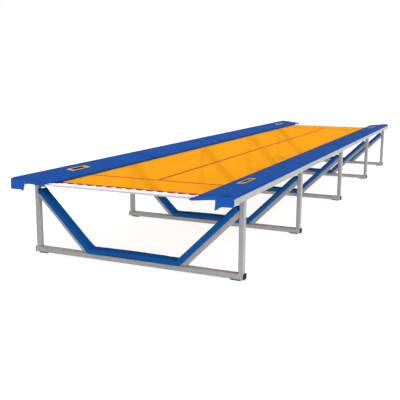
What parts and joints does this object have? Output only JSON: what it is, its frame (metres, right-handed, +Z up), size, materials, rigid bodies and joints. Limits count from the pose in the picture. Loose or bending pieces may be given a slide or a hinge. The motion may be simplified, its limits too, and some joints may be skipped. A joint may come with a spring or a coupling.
{
  "type": "tumbling track",
  "caption": "Long sprung tumbling track: an orange woven bed on padded leg frames, with blue side pads that lift off the springs.",
  "frame": {"origin": "on the floor, under the middle of the bed", "axes": "+X across the track to the right, +Y along the track, +Z up"},
  "size_m": [2.53, 9.84, 0.9133],
  "materials": {
    "galvanised_steel": "hot-dip galvanised, satin",
    "leg_pad_cover": "coated cloth, dark blue, satin",
    "pad_cover": "coated cloth, royal blue, satin",
    "label_print": "printed film, yellow with a black bar",
    "black_plastic": "moulded, fine grain",
    "foot_rubber": "ribbed rubber",
    "zinc_hardware": "zinc plated",
    "spring_steel": "zinc plated spring wire",
    "bed_weave": "open woven strap cloth, orange",
    "red_webbing": "woven webbing, red",
    "orange_webbing": "woven webbing, orange",
    "white_webbing": "woven webbing, white",
    "white_rope": "twisted polyester rope, white"
  },
  "bodies": {
    "frame": {"cross_tube_1": "galvanised_steel", "cross_tube_2": "galvanised_steel", "cross_tube_3": "galvanised_steel", "cross_tube_4": "galvanised_steel", "cross_tube_5": "galvanised_steel", "cross_tube_caps": "black_plastic", "end_lacing": "white_rope", "end_ropes": "white_rope", "foot_pads": "foot_rubber", "leg_bolts": "zinc_hardware", "leg_braces_1": "galvanised_steel", "leg_braces_2": "galvanised_steel", "leg_braces_3": "galvanised_steel", "leg_braces_4": "galvanised_steel", "leg_braces_5": "galvanised_steel", "leg_pad_1": "leg_pad_cover", "leg_pad_2": "leg_pad_cover", "leg_pad_3": "leg_pad_cover", "leg_pad_4": "leg_pad_cover", "leg_pad_5": "leg_pad_cover", "leg_posts_1": "galvanised_steel", "leg_posts_2": "galvanised_steel", "leg_posts_3": "galvanised_steel", "leg_posts_4": "galvanised_steel", "leg_posts_5": "galvanised_steel", "rail_end_caps": "black_plastic", "rail_eye_plates": "zinc_hardware", "rail_splices": "galvanised_steel", "rail_stubs": "galvanised_steel", "rope_ferrules": "zinc_hardware", "side_rail_left": "galvanised_steel", "side_rail_right": "galvanised_steel", "side_springs_left": "spring_steel", "side_springs_right": "spring_steel"},
    "bed": {"bed": "bed_weave", "bed_end_bands": "red_webbing", "bed_side_webbing": "orange_webbing", "bed_lines": "red_webbing", "bed_rings": "zinc_hardware", "bed_end_tabs": "white_webbing"},
    "side_pad_left_1": {"side_pad_left_1": "pad_cover", "end_flap_left_1": "pad_cover", "pad_label_left_1": "label_print"},
    "side_pad_left_2": {"side_pad_left_2": "pad_cover"},
    "side_pad_left_3": {"side_pad_left_3": "pad_cover"},
    "side_pad_left_4": {"side_pad_left_4": "pad_cover", "end_flap_left_4": "pad_cover", "pad_label_left_4": "label_print"},
    "side_pad_right_1": {"side_pad_right_1": "pad_cover", "end_flap_right_1": "pad_cover", "pad_label_right_1": "label_print"},
    "side_pad_right_2": {"side_pad_right_2": "pad_cover"},
    "side_pad_right_3": {"side_pad_right_3": "pad_cover"},
    "side_pad_right_4": {"side_pad_right_4": "pad_cover", "end_flap_right_4": "pad_cover", "pad_label_right_4": "label_print"}
  },
  "joints": [
    {"name": "bed_bounce", "type": "slide", "parent": "frame", "child": "bed", "axis": [0, 0, -1], "range_m": [0, 0.25], "stiffness_N_per_m": 9000, "springref_m": -0.12, "deforming": ["side_springs_left", "side_springs_right", "end_lacing"]},
    {"name": "pad_left_1_lift", "type": "hinge", "parent": "frame", "child": "side_pad_left_1", "pos_m": [-1.265, 0, 0.8733], "axis": [0, -1, 0], "range_deg": [0, 100]},
    {"name": "pad_left_2_lift", "type": "hinge", "parent": "frame", "child": "side_pad_left_2", "pos_m": [-1.265, 0, 0.8733], "axis": [0, -1, 0], "range_deg": [0, 100]},
    {"name": "pad_left_3_lift", "type": "hinge", "parent": "frame", "child": "side_pad_left_3", "pos_m": [-1.265, 0, 0.8733], "axis": [0, -1, 0], "range_deg": [0, 100]},
    {"name": "pad_left_4_lift", "type": "hinge", "parent": "frame", "child": "side_pad_left_4", "pos_m": [-1.265, 0, 0.8733], "axis": [0, -1, 0], "range_deg": [0, 100]},
    {"name": "pad_right_1_lift", "type": "hinge", "parent": "frame", "child": "side_pad_right_1", "pos_m": [1.265, 0, 0.8733], "axis": [0, 1, 0], "range_deg": [0, 100]},
    {"name": "pad_right_2_lift", "type": "hinge", "parent": "frame", "child": "side_pad_right_2", "pos_m": [1.265, 0, 0.8733], "axis": [0, 1, 0], "range_deg": [0, 100]},
    {"name": "pad_right_3_lift", "type": "hinge", "parent": "frame", "child": "side_pad_right_3", "pos_m": [1.265, 0, 0.8733], "axis": [0, 1, 0], "range_deg": [0, 100]},
    {"name": "pad_right_4_lift", "type": "hinge", "parent": "frame", "child": "side_pad_right_4", "pos_m": [1.265, 0, 0.8733], "axis": [0, 1, 0], "range_deg": [0, 100]}
  ]
}
